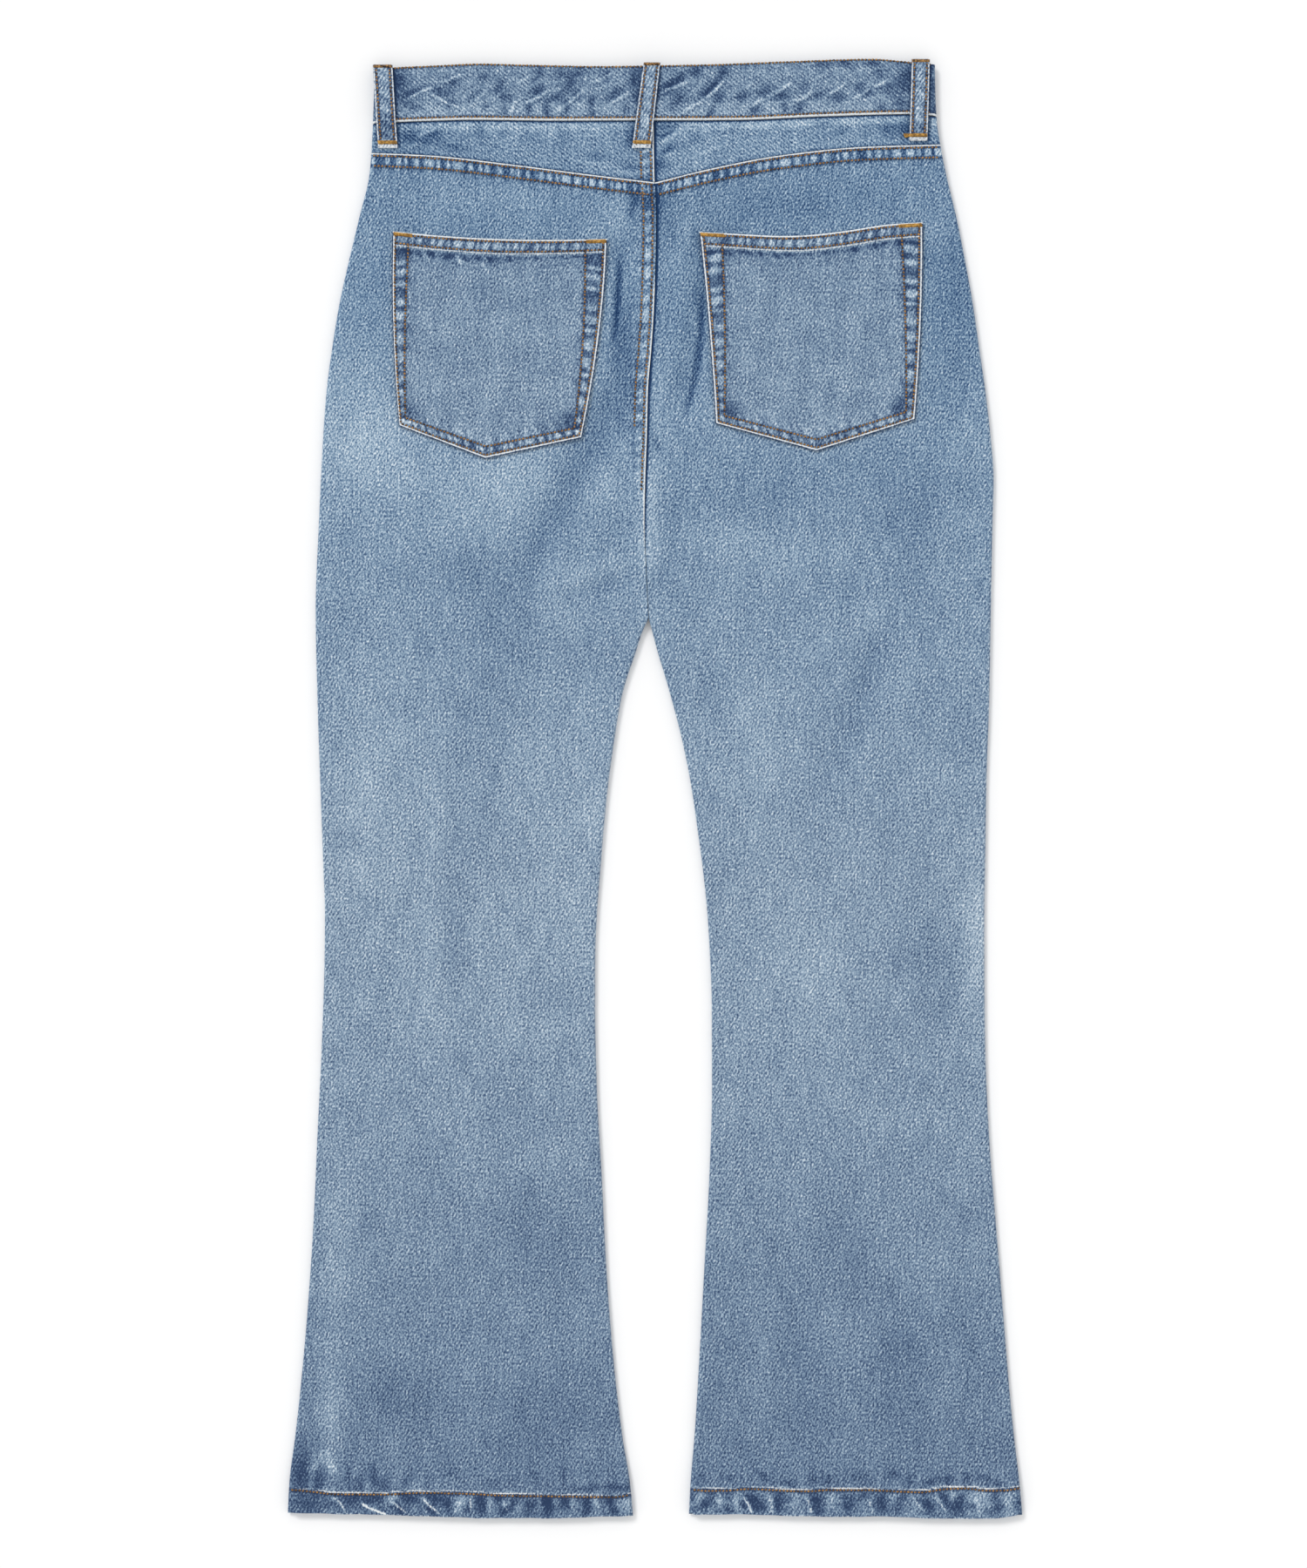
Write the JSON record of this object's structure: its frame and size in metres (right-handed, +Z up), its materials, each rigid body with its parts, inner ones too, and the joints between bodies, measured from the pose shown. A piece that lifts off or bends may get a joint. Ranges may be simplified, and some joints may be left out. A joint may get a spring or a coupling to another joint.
{
  "type": "flared trousers",
  "caption": "Flared denim trousers laid flat with the back up: yoke, patch pockets, waistband with belt loops, felled seams and turned hems.",
  "frame": {"origin": "middle of the flat outline, on the surface that the trousers lie on", "axes": "+Y along the legs towards the waist, +X to the right as seen from above, +Z up out of the back"},
  "size_m": [0.506, 1.0046, 0.0123],
  "materials": {
    "denim": "stone-washed light blue twill, matt",
    "sewing_thread": "golden brown topstitching thread",
    "button_metal": "antiqued"
  },
  "bodies": {
    "root": {"back_left": "denim", "back_right": "denim", "yoke_left": "denim", "yoke_right": "denim", "waistband": "denim", "pocket_left": "denim", "pocket_right": "denim", "belt_loop_left": "denim", "belt_loop_centre": "denim", "belt_loop_right": "denim", "front_left": "denim", "front_right": "denim", "fly_shield": "denim", "belt_loop_front_left": "denim", "belt_loop_front_right": "denim", "waist_button": "button_metal"}
  },
  "joints": []
}
